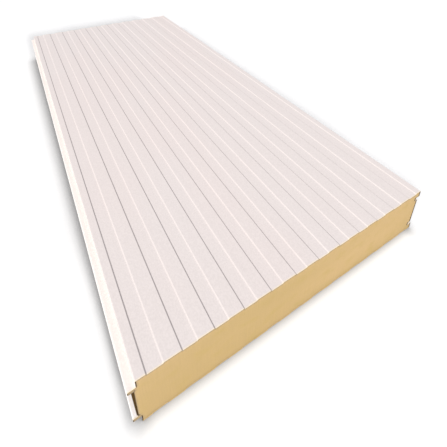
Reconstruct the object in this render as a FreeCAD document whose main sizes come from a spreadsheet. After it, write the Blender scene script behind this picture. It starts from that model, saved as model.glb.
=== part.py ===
import FreeCAD, Part

import enum
import math
import os

import Sketcher

# Insulated sandwich panel for cold stores and walls: a rigid foam core bonded between two
# roll-formed steel facings, with a double tongue-and-groove joint along its long edges.
#
# Axes: X across the panel from the tongue edge to the groove edge, Y along it, Z up.
# The panel lies flat. Its origin is the centre of its footprint, on the floor.
#
# The section is dimensioned in "across" and "depth". Across is measured from the shoulder of
# the tongue edge. Depth is measured from the crests of a facing towards the panel's middle.
# A facing's two sides are the "outer line", which shows, and the "inner line" on the foam.

SIZE_TABLE = (
    # name, millimetres, what it is
    ("panel_length", 2640, "cut length of the panel"),
    ("cover_width", 1150, "width covered by one laid panel, shoulder to shoulder"),
    ("panel_thickness", 200, "crests of one facing to crests of the other"),
    ("face_gap", 2, "gap left in the face between two laid panels"),
    ("upper_sheet", 0.6, "steel of the upper facing"),
    ("lower_sheet", 0.5, "steel of the lower facing"),
    ("edge_strip", 26.5, "crest between the shoulder and the first valley"),
    ("least_strip", 20, "crest that always stays beside the groove edge"),
    ("valley_pitch", 95.2, "one rolled valley to the next"),
    ("valley_width", 47.5, "crest to crest over one valley"),
    ("valley_depth", 3, "crest to the floor of a valley"),
    ("flank_width", 3.3, "width of a valley's sloping side"),
    ("flank_bend", 1, "inside bend radius along the valleys"),
    ("fold_bend", 1.5, "inside bend radius of the folds along the edges"),
    ("nose_bend", 3, "inside bend radius at the nose of a tongue"),
    ("ledge_depth", 27, "face to the ledge on top of a tongue"),
    ("tongue_thickness", 12, "height of a tongue"),
    ("tongue_reach", 22, "shoulder to the nose of a tongue"),
    ("core_reach", 8, "shoulder to the bare core between the tongues"),
    ("lip_anchor", 4, "length of a tongue's lip that is buried in the core"),
    ("lip_setback", 3, "bare core between a groove's lip and its mouth"),
    ("joint_clearance", 0.5, "play above and below a tongue in its groove"),
    ("nose_clearance", 2, "play in front of a tongue's nose"),
    ("core_clearance", 3, "play between the cores of two laid panels"),
)

# Places across the section, as expressions on the sheet.
SHOULDER = "0"
TIP = "(Sizes.cover_width - Sizes.face_gap)"
NOSE = "(-Sizes.tongue_reach)"
TONGUE_CORE = "(-Sizes.core_reach)"
TONGUE_LIP = "(Sizes.lip_anchor - Sizes.core_reach)"
GROOVE_END = "(Sizes.cover_width - Sizes.tongue_reach - Sizes.nose_clearance)"
GROOVE_CORE = "(Sizes.cover_width - Sizes.core_reach - Sizes.core_clearance)"
GROOVE_LIP = f"({GROOVE_CORE} - Sizes.lip_setback)"
# Depths of the joint.
FACE = "0"
LEDGE = "Sizes.ledge_depth"
TONGUE_UNDER = "(Sizes.ledge_depth + Sizes.tongue_thickness)"
GROOVE_ROOF = f"({LEDGE} - Sizes.joint_clearance)"
GROOVE_FLOOR = f"({TONGUE_UNDER} + Sizes.joint_clearance)"
# The sloping side of a valley.
FLANK_ANGLE = "atan(Sizes.valley_depth / Sizes.flank_width)"

# Sketcher's codes for a curve's two ends, and for the sketch's origin.
CurveEnd = enum.IntEnum("CurveEnd", ("START", "FINISH"))
ORIGIN = (-1, CurveEnd.START)

document = FreeCAD.newDocument("SandwichPanel")
sizes = document.addObject("Spreadsheet::Sheet", "Sizes")
for row, (name, number, meaning) in enumerate(SIZE_TABLE, start=1):
    sizes.set(f"A{row}", name)
    sizes.set(f"B{row}", str(number))
    sizes.set(f"C{row}", meaning)
    sizes.setAlias(f"B{row}", name)
document.recompute()


def value(expression):
    return float(sizes.evalExpression(expression))


def bend_radius(bend, turn, sheet, inset):
    """Radius of a line `inset` below the outer line where a sheet bends.

    A convex fold has the foam inside its bend, a concave one has the open air there.
    """
    if turn == "convex":
        return f"({bend} + {sheet} - {inset})"
    return f"({bend} + {inset})"


def facing_line(sheet, inset):
    """A facing's folds from the lip of its tongue to the lip in its groove, without valleys.

    Each corner is (across, depth, bend radius); the raw edges of the sheet have no bend.
    """
    fold, nose = "Sizes.fold_bend", "Sizes.nose_bend"
    folds = (
        # across, depth, way to the foam across and in depth, turn, bend
        (TONGUE_LIP, TONGUE_UNDER, 0, -1, None, None),
        (NOSE, TONGUE_UNDER, 1, -1, "convex", nose),
        (NOSE, LEDGE, 1, 1, "convex", nose),
        (SHOULDER, LEDGE, 1, 1, "concave", fold),
        (SHOULDER, FACE, 1, 1, "convex", fold),
        (TIP, FACE, -1, 1, "convex", fold),
        (TIP, GROOVE_ROOF, -1, -1, "convex", fold),
        (GROOVE_END, GROOVE_ROOF, -1, -1, "concave", fold),
        (GROOVE_END, GROOVE_FLOOR, -1, 1, "concave", fold),
        (GROOVE_LIP, GROOVE_FLOOR, 0, 1, None, None),
    )
    return [
        (
            f"({across} + {way_across} * {inset})",
            f"({depth} + {way_down} * {inset})",
            bend_radius(bend, turn, sheet, inset) if turn else None,
        )
        for across, depth, way_across, way_down, turn, bend in folds
    ]


def core_line(sheet):
    """The core's boundary on one facing, with the bare foam beside the two lips."""
    tongue_side = [(TONGUE_CORE, TONGUE_UNDER, None), (TONGUE_LIP, TONGUE_UNDER, None)]
    groove_side = [(GROOVE_LIP, GROOVE_FLOOR, None), (GROOVE_CORE, GROOVE_FLOOR, None)]
    return tongue_side + facing_line(sheet, sheet) + groove_side


def valley_outline(sheet, inset, cover):
    """Closed outline of the first valley, `inset` below the outer line, closed at depth `cover`."""
    shift = f"({inset} * tan({FLANK_ANGLE} / 2))"
    start = f"(Sizes.edge_strip - {shift})"
    end = f"(Sizes.edge_strip + Sizes.valley_width + {shift})"
    crest, floor = inset, f"(Sizes.valley_depth + {inset})"
    crest_bend = bend_radius("Sizes.flank_bend", "convex", sheet, inset)
    floor_bend = bend_radius("Sizes.flank_bend", "concave", sheet, inset)
    return [
        (f"({start} - Sizes.flank_width)", cover, None),
        (f"({start} - Sizes.flank_width)", crest, None),
        (start, crest, crest_bend),
        (f"({start} + Sizes.flank_width)", floor, floor_bend),
        (f"({end} - Sizes.flank_width)", floor, floor_bend),
        (end, crest, crest_bend),
        (f"({end} + Sizes.flank_width)", crest, None),
        (f"({end} + Sizes.flank_width)", cover, None),
    ]


def on_upper_side(corners):
    return [(across, f"(Sizes.panel_thickness - {depth})", bend) for across, depth, bend in corners]


def on_lower_side(corners):
    return list(corners)


def origin_feature(body, role):
    return next(feature for feature in body.Origin.OriginFeatures if feature.Role == role)


def add_body(name):
    body = document.addObject("PartDesign::Body", name)
    body.Label = name
    return body


def bend_arc(before, corner, after, radius):
    """The arc that rounds a corner, with the points where it meets the two straight runs."""
    to_before = (before - corner).normalize()
    to_after = (after - corner).normalize()
    half_angle = to_before.getAngle(to_after) / 2
    setback = radius / math.tan(half_angle)
    bisector = (to_before + to_after).normalize()
    centre = corner + bisector * (radius / math.sin(half_angle))
    enter = corner + to_before * setback
    leave = corner + to_after * setback
    arc = Part.Arc(enter, centre - bisector * radius, leave)
    counterclockwise = to_before.cross(to_after).z < 0
    return arc, enter, leave, counterclockwise


def draw_outline(body, name, corners):
    """Sketch of a closed outline: straight runs between dimensioned corners, joined by bends."""
    sketch = body.newObject("Sketcher::SketchObject", name)
    sketch.AttachmentSupport = [(origin_feature(body, "XZ_Plane"), "")]
    sketch.MapMode = "FlatFace"
    sketch.setExpression("AttachmentOffset.Base.x", f"(Sizes.tongue_reach - {TIP}) / 2")

    count = len(corners)
    points = [FreeCAD.Vector(value(across), value(height), 0) for across, height, _ in corners]
    run_starts, run_ends = list(points), list(points)
    arcs = {}
    for index, (_, _, bend) in enumerate(corners):
        if bend:
            following = points[(index + 1) % count]
            bend_shape = bend_arc(points[index - 1], points[index], following, value(bend))
            arc, run_ends[index], run_starts[index], counterclockwise = bend_shape
            arcs[index] = (arc, counterclockwise)

    # Geometry: run k leaves corner k, then come the bends, then their sharp corners as helpers.
    runs = [Part.LineSegment(run_starts[k], run_ends[(k + 1) % count]) for k in range(count)]
    sketch.addGeometry(runs + [arc for arc, _ in arcs.values()], False)
    sketch.addGeometry([Part.Point(points[index]) for index in arcs], True)
    arc_ids = {index: count + order for order, index in enumerate(arcs)}
    helper_ids = {index: count + len(arcs) + order for order, index in enumerate(arcs)}

    start, finish = CurveEnd
    constraints, bindings = [], []

    def dimension(kind, *where, expression):
        bindings.append((len(constraints), expression))
        constraints.append(Sketcher.Constraint(kind, *where, value(expression)))

    for index, (across, height, bend) in enumerate(corners):
        run_before, run_after = (index - 1) % count, index
        if bend:
            arc_id, corner = arc_ids[index], (helper_ids[index], start)
            enter, leave = (start, finish) if arcs[index][1] else (finish, start)
            constraints += [
                Sketcher.Constraint("Tangent", run_before, finish, arc_id, enter),
                Sketcher.Constraint("Tangent", arc_id, leave, run_after, start),
                Sketcher.Constraint("PointOnObject", *corner, run_before),
                Sketcher.Constraint("PointOnObject", *corner, run_after),
            ]
            dimension("Radius", arc_id, expression=bend)
        else:
            corner = (run_after, start)
            constraints.append(Sketcher.Constraint("Coincident", run_before, finish, *corner))
        dimension("DistanceX", *ORIGIN, *corner, expression=across)
        dimension("DistanceY", *ORIGIN, *corner, expression=height)
    sketch.addConstraint(constraints)
    for number, expression in bindings:
        sketch.setExpression(f"Constraints[{number}]", expression)
    return sketch


def run_through(body, kind, name, sketch):
    """Pad or Pocket over the whole length, evenly about the middle."""
    feature = body.newObject(kind, name)
    feature.Profile = sketch
    feature.SideType = "Symmetric"
    feature.setExpression("Length", "Sizes.panel_length")
    document.recompute()
    return feature


def repeat_valleys(body, name, features, sketch):
    pattern = body.newObject("PartDesign::LinearPattern", name)
    pattern.Originals = features
    pattern.Direction = (sketch, ["H_Axis"])
    pattern.Mode = "Spacing"
    pattern.setExpression("Offset", "Sizes.valley_pitch")
    room = f"({TIP} - Sizes.edge_strip - Sizes.least_strip - Sizes.valley_width)"
    pattern.setExpression("Occurrences", f"floor({room} / Sizes.valley_pitch) + 1")
    body.Tip = pattern
    document.recompute()
    return pattern


def make_facing(name, sheet, place):
    """One folded steel sheet: its edge folds, then the valleys rolled into its face."""
    body = add_body(name)
    folded = facing_line(sheet, "0") + facing_line(sheet, sheet)[::-1]
    section = draw_outline(body, f"{name}_section", place(folded))
    run_through(body, "PartDesign::Pad", f"{name}_strip", section)

    skin = valley_outline(sheet, sheet, cover=f"({sheet} / 2)")
    skin_sketch = draw_outline(body, f"{name}_valley_skin_section", place(skin))
    skin_pad = run_through(body, "PartDesign::Pad", f"{name}_valley_skin", skin_sketch)

    hollow = valley_outline(sheet, "0", cover=f"(-{sheet})")
    hollow_sketch = draw_outline(body, f"{name}_valley_section", place(hollow))
    hollow_cut = run_through(body, "PartDesign::Pocket", f"{name}_valley", hollow_sketch)

    repeat_valleys(body, f"{name}_valleys", [skin_pad, hollow_cut], section)
    return body


def make_core(name):
    """The foam, which fills everything between the inner lines of the two facings."""
    body = add_body(name)
    outline = on_upper_side(core_line("Sizes.upper_sheet"))
    outline += on_lower_side(core_line("Sizes.lower_sheet"))[::-1]
    section = draw_outline(body, f"{name}_section", outline)
    run_through(body, "PartDesign::Pad", f"{name}_block", section)

    beds = []
    for side, sheet, place in (
        ("upper", "Sizes.upper_sheet", on_upper_side),
        ("lower", "Sizes.lower_sheet", on_lower_side),
    ):
        bed = valley_outline(sheet, sheet, cover=f"(-{sheet})")
        bed_sketch = draw_outline(body, f"{name}_{side}_bed_section", place(bed))
        beds.append(run_through(body, "PartDesign::Pocket", f"{name}_{side}_bed", bed_sketch))
    repeat_valleys(body, f"{name}_beds", beds, section)
    return body


def check_document(bodies):
    failed = [item.Label for item in document.Objects if {"Invalid", "Error"} & set(item.State)]
    if failed:
        raise RuntimeError(f"failed features: {failed}")
    for body in bodies:
        if body.Shape.isNull() or not body.Shape.isValid() or len(body.Shape.Solids) != 1:
            raise RuntimeError(f"{body.Label} is not one valid solid")


parts = [
    make_facing("upper_facing", "Sizes.upper_sheet", on_upper_side),
    make_facing("lower_facing", "Sizes.lower_sheet", on_lower_side),
    make_core("foam_core"),
]
document.recompute()
check_document(parts)

os.makedirs("parts", exist_ok=True)
for part in parts:
    part.Shape.exportStep(f"parts/{part.Label}.step")
    print(f"{part.Label}: {part.Shape.Volume / 1000:.1f} cm3, box {part.Shape.BoundBox}")
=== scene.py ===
import math

import bmesh
import bpy
import numpy as np
from mathutils import Matrix, Vector, noise
from mathutils.geometry import delaunay_2d_cdt


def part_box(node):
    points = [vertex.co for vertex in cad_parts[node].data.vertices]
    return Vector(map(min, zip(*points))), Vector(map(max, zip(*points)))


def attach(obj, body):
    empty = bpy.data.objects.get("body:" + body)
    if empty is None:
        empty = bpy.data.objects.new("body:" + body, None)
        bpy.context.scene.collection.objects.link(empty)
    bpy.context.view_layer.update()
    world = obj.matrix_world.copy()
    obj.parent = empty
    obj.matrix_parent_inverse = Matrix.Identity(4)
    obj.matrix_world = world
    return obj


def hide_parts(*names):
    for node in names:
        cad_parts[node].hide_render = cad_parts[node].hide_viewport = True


# Insulated sandwich panel: two coated steel facings, which are the frame's own nodes, and a rigid
# foam core, which gets sawn ends here. Metres throughout; +Z up, Y along the panel.

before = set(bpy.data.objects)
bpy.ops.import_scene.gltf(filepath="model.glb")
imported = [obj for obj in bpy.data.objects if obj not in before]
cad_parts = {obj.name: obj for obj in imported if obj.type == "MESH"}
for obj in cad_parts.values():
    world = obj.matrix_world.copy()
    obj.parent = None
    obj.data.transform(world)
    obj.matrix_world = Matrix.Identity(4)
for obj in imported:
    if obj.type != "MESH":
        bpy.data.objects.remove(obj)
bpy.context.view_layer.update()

NEAR_END, FAR_END = (corner.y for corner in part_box("foam_core"))
UPPER_FACE, LOWER_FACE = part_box("upper_facing")[1].z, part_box("lower_facing")[0].z
GROOVE_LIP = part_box("upper_facing")[1].x
SHEET = UPPER_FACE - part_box("foam_core")[1].z


def shoulder_of(node):
    """Where a facing's face ends and its tongue begins: the least x among its crests."""
    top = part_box(node)[1].z
    return min(v.co.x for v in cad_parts[node].data.vertices if v.co.z > top - SHEET / 10)


def wall_between_tongues(node):
    """The x of the core's bare wall: its corners are the nearest to mid height on that side."""
    left = [v.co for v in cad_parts[node].data.vertices if v.co.x < 0]
    return min(left, key=lambda point: abs(point.z - (UPPER_FACE + LOWER_FACE) / 2)).x


SHOULDER = shoulder_of("upper_facing")
TONGUE_WALL = wall_between_tongues("foam_core")

# Camera, placed from the near corner of the shoulder.
CAMERA_LEFT = 0.0410
CAMERA_BEFORE = 0.4617
CAMERA_ABOVE = 1.0280
CAMERA_TURN = math.radians(31.225)
CAMERA_TILT = math.radians(25.098)
CAMERA_ROLL = math.radians(0.269)
CAMERA_LENS = 27.760
CAMERA_SENSOR = 36.0
CAMERA_SHIFT = -0.3613

# Light: a white dome all round, and a wide soft key from the tongue side and a little in front.
DOME_STRENGTH = 0.49
BACKDROP_STRENGTH = 1.03
KEY_STRENGTH = 3.05
KEY_WIDTH = math.radians(16)
KEY_AZIMUTH = math.radians(24)
KEY_ELEVATION = math.radians(38.3)
KEY_TINT = (1.0, 0.990, 0.975)
DOME_TINT = (0.985, 0.975, 1.030, 1)
# The floor's own lamps: how far across and along each throws the top edge's shadow, in metres,
# its width in degrees, and its share of the floor's light.
FLOOR_LAMPS = {
    "low_lamp_left": (-0.034, 0.72, 8, 0.28),
    "low_lamp_right": (0.270, 0.70, 14, 0.10),
}

FLOOR_RADIUS = 60.0


class Surface:
    """A material being built: its Principled shader and the nodes that feed it."""

    def __init__(self, name):
        self.material = bpy.data.materials.new(name)
        self.material.use_nodes = True
        self.tree = self.material.node_tree
        self.shader = self.tree.nodes["Principled BSDF"]
        self.across, self.along, self.height = self.split(self.node("TexCoord").outputs["Object"])
        normal = self.node("NewGeometry").outputs["True Normal"]
        self.facing = [self.math("ABSOLUTE", part) for part in self.split(normal)]

    def node(self, kind, **settings):
        made = self.tree.nodes.new("ShaderNode" + kind)
        for name, setting in settings.items():
            setattr(made, name, setting)
        return made

    def feed(self, socket, source):
        if isinstance(source, bpy.types.NodeSocket):
            self.tree.links.new(source, socket)
        else:
            socket.default_value = source

    def split(self, vector):
        parts = self.node("SeparateXYZ")
        self.feed(parts.inputs[0], vector)
        return parts.outputs[0], parts.outputs[1], parts.outputs[2]

    def math(self, operation, first, second=0.0):
        made = self.node("Math", operation=operation)
        self.feed(made.inputs[0], first)
        self.feed(made.inputs[1], second)
        return made.outputs[0]

    def ramp(self, value, start, end, at_start=0.0, at_end=1.0):
        """Runs smoothly from at_start to at_end while value runs from start to end."""
        made = self.node("MapRange", interpolation_type="SMOOTHSTEP")
        for index, source in enumerate((value, start, end, at_start, at_end)):
            self.feed(made.inputs[index], source)
        return made.outputs[0]

    def mix(self, share, first, second, blend="MIX"):
        made = self.node("Mix", data_type="RGBA", blend_type=blend)
        for name, source in (("Factor_Float", share), ("A_Color", first), ("B_Color", second)):
            self.feed(next(i for i in made.inputs if i.identifier == name), source)
        return next(o for o in made.outputs if o.identifier == "Result_Color")

    def place(self, size):
        """The point on the piece, in grains of the given size across, along and up."""
        point = self.node("CombineXYZ")
        for index, (part, length) in enumerate(zip((self.across, self.along, self.height), size)):
            self.feed(point.inputs[index], self.math("DIVIDE", part, length))
        return point.outputs[0]

    def noise(self, size, detail=2.0, roughness=0.5):
        made = self.node("TexNoise")
        self.feed(made.inputs["Vector"], self.place(size))
        self.feed(made.inputs["Scale"], 1.0)
        self.feed(made.inputs["Detail"], detail)
        self.feed(made.inputs["Roughness"], roughness)
        return made.outputs["Fac"]

    def cells(self, size):
        made = self.node("TexVoronoi")
        self.feed(made.inputs["Vector"], self.place(size))
        self.feed(made.inputs["Scale"], 1.0)
        return made.outputs["Distance"]

    def painted(self, name):
        """A value stored on the mesh's vertices."""
        return self.node("Attribute", attribute_name=name).outputs["Fac"]

    def bump(self, height, depth, under=None):
        made = self.node("Bump")
        self.feed(made.inputs["Height"], height)
        self.feed(made.inputs["Distance"], depth)
        self.feed(made.inputs["Strength"], 1.0)
        if under:
            self.feed(made.inputs["Normal"], under)
        return made.outputs["Normal"]

    def finish(self, colour, roughness, normal):
        self.feed(self.shader.inputs["Base Color"], colour)
        self.feed(self.shader.inputs["Roughness"], roughness)
        self.feed(self.shader.inputs["Normal"], normal)
        return self.material


FACE_PAINT = (0.811, 0.733, 0.702, 1)
FACE_PAINT_COOL = (0.805, 0.739, 0.710, 1)
TONGUE_PAINT = (0.860, 0.794, 0.748, 1)
# Painted light: the lower tongue's top between the tongues, brightened to cancel the upper
# tongue's shade.
RECESS_PAINTED_LIGHT = (0.980, 0.940, 0.910, 1)
# Painted shade: the inside of the grooves, darkened to tan.
GROOVE_PAINTED_SHADE = (0.720, 0.600, 0.440, 1)
# Painted shade: a dark band in the recess corner beside the core's bare wall.
CORNER_PAINTED_SHADE = (0.085, 0.048, 0.010, 1)
# Painted highlight: a cream band on the facing just inside the cut ends.
END_PAINTED_HIGHLIGHT = (0.920, 0.800, 0.640, 1)
SCUFF = (0.60, 0.54, 0.51, 1)
CUT_STEEL = (0.26, 0.24, 0.21, 1)
# Painted shade on the steep flanks of the folds.
FOLD_SHADE = 0.88
SCUFF_SHARE = 0.10
EMBOSS_GRAIN = (0.0045, 0.0060, 0.0045)
EMBOSS_TINT = 0.034
EMBOSS_DEPTH = 0.00002
CANNING_DEPTH = 0.0003
END_MARGIN = 0.0040
SHOULDER_FADE = 0.0030
CORNER_SHADE_WIDTH = 0.0025
JOINT_HALF_HEIGHT = 0.0745
RECESS_HALF_HEIGHT = 0.0640


def joint_paint(s, paint):
    """Paler on the tongues; between them paler still, as painted light against the upper tongue's
    shade; darker tan in the grooves as painted shade; and painted shade in the corner where the
    core begins.
    """
    from_middle = s.math("ABSOLUTE", s.math("SUBTRACT", s.height, (UPPER_FACE + LOWER_FACE) / 2))
    tongue_side = s.math("LESS_THAN", s.across, 0)
    groove_side = s.math("GREATER_THAN", s.across, 0)
    recess = s.math("MULTIPLY", s.math("LESS_THAN", from_middle, RECESS_HALF_HEIGHT), tongue_side)
    groove = s.math("MULTIPLY", s.math("LESS_THAN", from_middle, JOINT_HALF_HEIGHT), groove_side)
    from_wall = s.math("SUBTRACT", TONGUE_WALL, s.across)
    # Painted shade, full near the core's bare wall and gone a little further out.
    corner_shade = s.ramp(from_wall, 0.6 * CORNER_SHADE_WIDTH, 1.2 * CORNER_SHADE_WIDTH, 1.0, 0.0)
    paint = s.mix(s.ramp(s.across, SHOULDER, SHOULDER - SHOULDER_FADE), paint, TONGUE_PAINT)
    # Painted light between the tongues.
    paint = s.mix(recess, paint, RECESS_PAINTED_LIGHT)
    # Painted shade inside the grooves.
    paint = s.mix(groove, paint, GROOVE_PAINTED_SHADE)
    return s.mix(s.math("MULTIPLY", recess, corner_shade), paint, CORNER_PAINTED_SHADE)


def coated_steel():
    """Matt polyester coil coating over finely embossed sheet, bare metal at the cut ends, a
    painted highlight just inside the ends and painted shade on the fold flanks.
    """
    s = Surface("coated_steel_paint")
    clouds = s.noise((0.35, 0.9, 0.35), detail=3.0)
    streaks = s.noise((0.006, 1.4, 0.02), detail=4.0)
    emboss = s.noise(EMBOSS_GRAIN, detail=2.0, roughness=0.6)
    paint = s.mix(s.ramp(clouds, 0.35, 0.65), FACE_PAINT, FACE_PAINT_COOL)
    paint = joint_paint(s, paint)
    # Painted highlight along the cut ends.
    ends = s.ramp(s.math("ABSOLUTE", s.along), FAR_END - END_MARGIN, FAR_END - END_MARGIN / 2)
    paint = s.mix(ends, paint, END_PAINTED_HIGHLIGHT)
    speckle = s.ramp(emboss, 0.3, 0.7, -EMBOSS_TINT, EMBOSS_TINT)
    shade = s.math("ADD", s.ramp(streaks, 0.3, 0.7, 0.988, 1.0), speckle)
    # Painted shade: the steeper fold flanks are darker.
    shade = s.math("MULTIPLY", shade, s.ramp(s.facing[0], 0.15, 0.5, 1.0, FOLD_SHADE))
    paint = s.mix(1.0, paint, shade, "MULTIPLY")
    scuffs = s.noise((0.004, 0.05, 0.004), detail=5.0, roughness=0.7)
    paint = s.mix(s.ramp(scuffs, 0.72, 0.84, 0.0, SCUFF_SHARE), paint, SCUFF)
    cut = s.ramp(s.facing[1], 0.6, 0.8)
    s.feed(s.shader.inputs["Metallic"], s.math("MULTIPLY", cut, 0.6))
    s.feed(s.shader.inputs["Specular IOR Level"], 0.35)
    relief = s.bump(emboss, EMBOSS_DEPTH)
    relief = s.bump(s.noise((0.09, 0.45, 0.09), detail=2.0), CANNING_DEPTH, under=relief)
    return s.finish(s.mix(cut, paint, CUT_STEEL), s.ramp(streaks, 0.2, 0.8, 0.38, 0.5), relief)


SAWN_FOAM = (0.632, 0.452, 0.211, 1)
SAWN_FOAM_PALE = (0.685, 0.485, 0.240, 1)
OLIVE_FOAM = (0.612, 0.445, 0.172, 1)
# Darker foam along the facings: partly the denser foam next to the steel, partly painted shade of
# the sheet's edge.
RIM_SKIN_AND_SHADE = (0.400, 0.310, 0.200, 1)
# Painted shade in the sunk gap beside the upright folds.
GAP_PAINTED_SHADE = (0.340, 0.250, 0.140, 1)
# The bare side walls: a brown moulded skin, made much darker as painted shade of the joint recess.
FOAM_SKIN_AND_SHADE = (0.095, 0.055, 0.020, 1)
FOAM_CELL = 0.0022
KERF_TINT = 0.015
FOAM_RELIEF = 0.0002
# The dark rim fades in between these heights above the floor.
RIM_FADE = (0.004, 0.010)


def sawn_foam():
    """Rigid foam: open sawn cells on the ends, a brown skin along the bare edges made darker as
    painted shade of the joint recess, and a darker rim along the facings, partly denser foam and
    partly painted shade.
    """
    s = Surface("rigid_foam_cells")
    clouds = s.noise((0.9, 0.9, 0.25), detail=2.0)
    patches = s.noise((0.06, 0.06, 0.035), detail=3.0)
    kerf = s.noise((0.0035, 0.02, 0.12), detail=3.0, roughness=0.6)
    cells = s.cells((FOAM_CELL, FOAM_CELL, FOAM_CELL))
    foam = s.mix(s.ramp(clouds, 0.35, 0.65), SAWN_FOAM, SAWN_FOAM_PALE)
    foam = s.mix(s.ramp(patches, 0.45, 0.75, 0.0, 0.5), foam, OLIVE_FOAM)
    stripes = s.ramp(kerf, 0.3, 0.7, -KERF_TINT, KERF_TINT)
    grain = s.math("ADD", stripes, s.ramp(cells, 0.1, 0.8, 1.01, 0.98))
    foam = s.mix(1.0, foam, grain, "MULTIPLY")
    off_floor = s.ramp(s.height, *(LOWER_FACE + height for height in RIM_FADE))
    # Rim along the facings: denser foam and painted shade.
    foam = s.mix(s.math("MULTIPLY", s.painted("rim"), off_floor), foam, RIM_SKIN_AND_SHADE)
    # Painted shade in the gap beside the upright folds.
    foam = s.mix(s.painted("gap"), foam, GAP_PAINTED_SHADE)
    skin = s.ramp(s.facing[0], 0.4, 0.7)
    blotches = s.ramp(s.noise((0.02, 0.05, 0.02), detail=4.0), 0.3, 0.7, 0.86, 1.14)
    # Skin colour, partly painted shade.
    brown = s.mix(1.0, FOAM_SKIN_AND_SHADE, blotches, "MULTIPLY")
    s.feed(s.shader.inputs["Specular IOR Level"], 0.0)
    relief = s.bump(kerf, FOAM_RELIEF, under=s.bump(cells, FOAM_RELIEF))
    return s.finish(s.mix(skin, foam, brown), s.ramp(skin, 0.0, 1.0, 0.92, 0.6), relief)


FLOOR_WHITE = (1, 1, 1, 1)
FLOOR_GREY = (0.50, 0.50, 0.50, 1)
FLOOR_GLOW = 0.15
FLOOR_BOUNCE = (1.0, 0.86, 0.62, 1)
# How open the floor is where the foam's warm bounce is full and gone, and its share at the sides.
BOUNCE_FULL, BOUNCE_GONE, SIDE_BOUNCE = 0.48, 0.76, 0.15
# Contact shade at the foot of the ends and of the sides: how far it reaches and how deep it is.
END_REACH, END_DEPTH = 0.031, 0.86
SIDE_REACH, SIDE_REACH_FAR, SIDE_DEPTH = 0.046, 0.10, 1.35


def studio_floor():
    """White floor, lit and faintly glowing, with contact shade at the foot of the panel."""
    s = Surface("studio_floor")
    contact = s.node("AmbientOcclusion", samples=12)
    beside = s.ramp(s.math("ABSOLUTE", s.across), -SHOULDER - 0.05, GROOVE_LIP + 0.01)
    at_side = s.ramp(s.along, NEAR_END, FAR_END, SIDE_REACH, SIDE_REACH_FAR)
    s.feed(contact.inputs["Distance"], s.ramp(beside, 0.0, 1.0, END_REACH, at_side))
    depth = s.ramp(beside, 0.0, 1.0, END_DEPTH, SIDE_DEPTH)
    shade = s.math("POWER", contact.outputs["AO"], depth)
    bounce = s.ramp(contact.outputs["AO"], BOUNCE_FULL, BOUNCE_GONE, 1.0, 0.0)
    bounce = s.math("MULTIPLY", bounce, s.ramp(beside, 0.0, 1.0, 1.0, SIDE_BOUNCE))
    glow = s.mix(bounce, FLOOR_WHITE, FLOOR_BOUNCE)
    s.feed(s.shader.inputs["Specular IOR Level"], 0.0)
    s.feed(s.shader.inputs["Emission Color"], s.mix(1.0, glow, shade, "MULTIPLY"))
    s.feed(s.shader.inputs["Emission Strength"], FLOOR_GLOW)
    grain = s.bump(s.noise((0.02, 0.02, 0.02)), 0.0001)
    return s.finish(s.mix(1.0, FLOOR_GREY, shade, "MULTIPLY"), 0.9, grain)


# The sawn ends, in metres: rings of points just inside the outline, then a jittered grid.
RINGS = (0.0012, 0.0030)
RING_STEP = 0.0035
CROWDED = 0.0004
WELD = 1e-7
GRID_STEP = 0.0048
GRID_MARGIN = 0.0045
RIM_WIDTH = 0.0040
GAP_WIDTH = 0.0016
RIM_SINK = 0.0008
GAP_SINK = 0.0018
WAVE_SINK = 0.0005
WAVES_PER_METRE = 30
NEAR_SEED, FAR_SEED = 11, 12
HARD_EDGE = math.radians(30)


def end_loop(bm, y):
    """The flat cap of the bare core at y: its faces and the ordered vertices around it."""
    cap = {f for f in bm.faces if all(abs(v.co.y - y) < SHEET / 100 for v in f.verts)}
    border = [e for e in bm.edges if sum(f in cap for f in e.link_faces) == 1]
    ties = {}
    for edge in border:
        for vert in edge.verts:
            ties.setdefault(vert, []).append(edge.other_vert(vert))
    loop = [border[0].verts[0], ties[border[0].verts[0]][0]]
    while len(loop) < len(border):
        before, here = loop[-2:]
        loop.append(next(v for v in ties[here] if v != before))
    return list(cap), loop


def nearest(points, starts, ends):
    """Each point's distance to a set of straight runs."""
    runs = ends - starts
    offset = points[:, None, :] - starts[None, :, :]
    share = np.clip((offset * runs).sum(2) / (runs**2).sum(1), 0, 1)
    return np.linalg.norm(offset - share[..., None] * runs, axis=2).min(1)


def within(points, starts, ends):
    """Which points lie inside the outline, by counting the runs above each."""
    x, z = points[:, :1], points[:, 1:]
    crosses = (starts[:, 0] > x) != (ends[:, 0] > x)
    rise = np.where(crosses, ends[:, 0] - starts[:, 0], 1)
    height = starts[:, 1] + (x - starts[:, 0]) * (ends[:, 1] - starts[:, 1]) / rise
    return (crosses & (height > z)).sum(1) % 2 == 1


def ring_points(starts, ends, inset):
    """Points every RING_STEP along the outline, moved inwards."""
    made = []
    for start, end in zip(starts, ends):
        length = np.linalg.norm(end - start)
        inward = np.array((start[1] - end[1], end[0] - start[0])) / length
        count = max(1, round(length / RING_STEP))
        middles = (np.arange(count) + 0.5) / count
        made.append(start + middles[:, None] * (end - start) + inward * inset)
    return np.concatenate(made)


def spread(points):
    """The points, less those that crowd an earlier one in a tight corner."""
    apart = np.linalg.norm(points[:, None] - points[None], axis=2)
    return points[~np.tril(apart < CROWDED, -1).any(1)]


def grid_points(starts, seed):
    random = np.random.default_rng(seed)
    low, high = starts.min(0), starts.max(0)
    counts = ((high - low) / GRID_STEP).astype(int)
    grid = np.stack(np.meshgrid(*(np.arange(c) for c in counts)), -1).reshape(-1, 2).astype(float)
    grid += random.uniform(0.15, 0.85, grid.shape)
    return low + grid * (high - low) / counts


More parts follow.
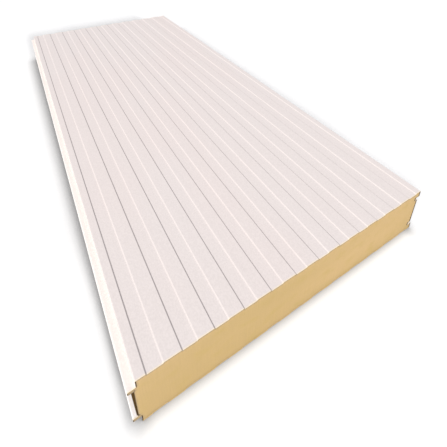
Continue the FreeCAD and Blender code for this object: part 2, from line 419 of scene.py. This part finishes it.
def triangles(outline, points):
    """Triangles that fill the outline through all the points, numbered outline first."""
    count = len(outline)
    everyone = np.concatenate((outline, points))
    sides = [(index, (index + 1) % count) for index in range(count)]
    everyone_2d = [Vector(point) for point in everyone]
    _, _, made, kept, _, _ = delaunay_2d_cdt(everyone_2d, sides, [], 0, WELD, True)
    made = np.array([[kept[index][0] for index in triangle] for triangle in made])
    inside = within(everyone[made].mean(1), outline, np.roll(outline, -1, axis=0))
    return made[inside].tolist()


def sawn_face(bm, y, inwards, seed, rim, gap):
    """Replaces the core's flat cap at y by a sawn face, slightly sunk and wavy."""
    cap, loop = end_loop(bm, y)
    bmesh.ops.delete(bm, geom=cap, context="FACES_ONLY")
    outline = np.array([(v.co.x, v.co.z) for v in loop])
    following = np.roll(outline, -1, axis=0)
    if (outline[:, 0] * following[:, 1] - following[:, 0] * outline[:, 1]).sum() < 0:
        loop, outline = loop[::-1], outline[::-1]
    starts, ends = outline, np.roll(outline, -1, axis=0)
    rings = []
    for inset in RINGS:
        ring = ring_points(starts, ends, inset)
        rings.append(ring[nearest(ring, starts, ends) > inset * 0.9])
    grid = grid_points(starts, seed)
    grid = grid[nearest(grid, starts, ends) > GRID_MARGIN]
    points = np.concatenate((spread(np.concatenate(rings)), grid))
    points = points[within(points, starts, ends)]

    runs = ends - starts
    upright = (np.abs(runs[:, 0]) < np.abs(runs[:, 1])) & (np.abs(runs[:, 1]) > 4 * SHEET)
    from_rim = nearest(points, starts, ends)
    from_gap = nearest(points, starts[upright], ends[upright])
    rims = np.exp(-((from_rim / RIM_WIDTH) ** 2))
    gaps = np.exp(-((from_gap / GAP_WIDTH) ** 2))
    swell = np.array([noise.noise((x, z, seed)) for x, z in points * WAVES_PER_METRE])
    sink = RIM_SINK * np.exp(-((from_rim / (2 * RIM_WIDTH)) ** 2)) + GAP_SINK * gaps
    sink = sink + WAVE_SINK * (0.5 + 0.5 * swell)

    made = [bm.verts.new((x, y + inwards * depth, z)) for (x, z), depth in zip(points, sink)]
    corners = list(loop) + made
    for triangle in triangles(outline, points):
        order = triangle if inwards > 0 else triangle[::-1]
        bm.faces.new([corners[index] for index in order]).smooth = True
    for index, vert in enumerate(loop):
        vert[rim] = 1.0
        vert[gap] = float(upright[index] or upright[index - 1])
    for vert, rim_share, gap_share in zip(made, rims, gaps):
        vert[rim], vert[gap] = rim_share, gap_share


def add_sawn_core():
    """The foam core again, with sawn ends in place of the frame's flat ones."""
    bm = bmesh.new()
    bm.from_mesh(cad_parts["foam_core"].data)
    bmesh.ops.remove_doubles(bm, verts=bm.verts, dist=SHEET / 1000)
    rim, gap = bm.verts.layers.float.new("rim"), bm.verts.layers.float.new("gap")
    sawn_face(bm, NEAR_END, 1, NEAR_SEED, rim, gap)
    sawn_face(bm, FAR_END, -1, FAR_SEED, rim, gap)
    for edge in bm.edges:
        if len(edge.link_faces) != 2 or edge.calc_face_angle() > HARD_EDGE:
            edge.smooth = False
    mesh = bpy.data.meshes.new("sawn_core")
    bm.to_mesh(mesh)
    bm.free()
    mesh.materials.clear()
    mesh.materials.append(sawn_foam())
    core = bpy.data.objects.new("sawn_core", mesh)
    bpy.context.scene.collection.objects.link(core)
    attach(core, "root")
    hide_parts("foam_core")


def add_floor():
    bm = bmesh.new()
    bmesh.ops.create_circle(bm, cap_ends=True, radius=FLOOR_RADIUS, segments=96)
    mesh = bpy.data.meshes.new("studio_floor")
    bm.to_mesh(mesh)
    bm.free()
    floor = bpy.data.objects.new("studio_floor", mesh)
    floor.location.z = LOWER_FACE
    mesh.materials.append(studio_floor())
    bpy.context.scene.collection.objects.link(floor)
    return floor


def add_dome():
    """White surroundings: plain white to the eye, dimmer as a light."""
    world = bpy.data.worlds.new("dome")
    world.use_nodes = True
    bpy.context.scene.world = world
    tree = world.node_tree
    eye = tree.nodes.new("ShaderNodeLightPath").outputs["Is Camera Ray"]
    strength = tree.nodes.new("ShaderNodeMapRange")
    tree.links.new(eye, strength.inputs["Value"])
    strength.inputs["To Min"].default_value = DOME_STRENGTH
    strength.inputs["To Max"].default_value = BACKDROP_STRENGTH
    background = tree.nodes["Background"]
    background.inputs["Color"].default_value = DOME_TINT
    tree.links.new(strength.outputs[0], background.inputs["Strength"])


def add_lamp(name, azimuth, elevation, width, strength, tint=(1, 1, 1)):
    """A wide soft lamp, its azimuth counted from the tongue side towards the near end."""
    light = bpy.data.lights.new(name, "SUN")
    light.energy = strength
    light.angle = width
    light.color = tint
    lamp = bpy.data.objects.new(name, light)
    level = Vector((-math.cos(azimuth), -math.sin(azimuth), 0)) * math.cos(elevation)
    towards = level + Vector((0, 0, math.sin(elevation)))
    lamp.rotation_mode = "QUATERNION"
    lamp.rotation_quaternion = towards.to_track_quat("Z", "Y")
    lamp.location = towards * 4
    bpy.context.scene.collection.objects.link(lamp)
    return lamp


def add_floor_lamps(floor):
    """Low lamps in front that light the floor alone and lay a faint shade behind the panel."""
    floor_alone = bpy.data.collections.new("floor_alone")
    floor_alone.objects.link(floor)
    for name, (across, along, width, share) in FLOOR_LAMPS.items():
        azimuth = math.atan2(along, across)
        elevation = math.atan2(UPPER_FACE - LOWER_FACE, math.hypot(across, along))
        strength = share * math.pi / (FLOOR_GREY[0] * math.sin(elevation))
        lamp = add_lamp(name, azimuth, elevation, math.radians(width), strength)
        lamp.light_linking.receiver_collection = floor_alone


def add_camera():
    lens = bpy.data.cameras.new("camera")
    lens.sensor_width = CAMERA_SENSOR
    lens.lens = CAMERA_LENS
    lens.shift_y = CAMERA_SHIFT
    camera = bpy.data.objects.new("camera", lens)
    corner = Vector((SHOULDER, NEAR_END, UPPER_FACE))
    place = corner + Vector((-CAMERA_LEFT, -CAMERA_BEFORE, CAMERA_ABOVE))
    level = Matrix.Rotation(-CAMERA_TURN, 4, "Z") @ Matrix.Rotation(math.pi / 2, 4, "X")
    aim = level @ Matrix.Rotation(-CAMERA_TILT, 4, "X") @ Matrix.Rotation(CAMERA_ROLL, 4, "Z")
    camera.matrix_world = Matrix.Translation(place) @ aim
    bpy.context.scene.collection.objects.link(camera)
    bpy.context.scene.camera = camera


def paint_node(node, material):
    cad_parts[node].data.materials[0] = material


bpy.context.scene.view_settings.view_transform = "Standard"
add_camera()
add_dome()
add_lamp("key", KEY_AZIMUTH, KEY_ELEVATION, KEY_WIDTH, KEY_STRENGTH, KEY_TINT)
add_floor_lamps(add_floor())
steel = coated_steel()
paint_node("upper_facing", steel)
paint_node("lower_facing", steel)
add_sawn_core()
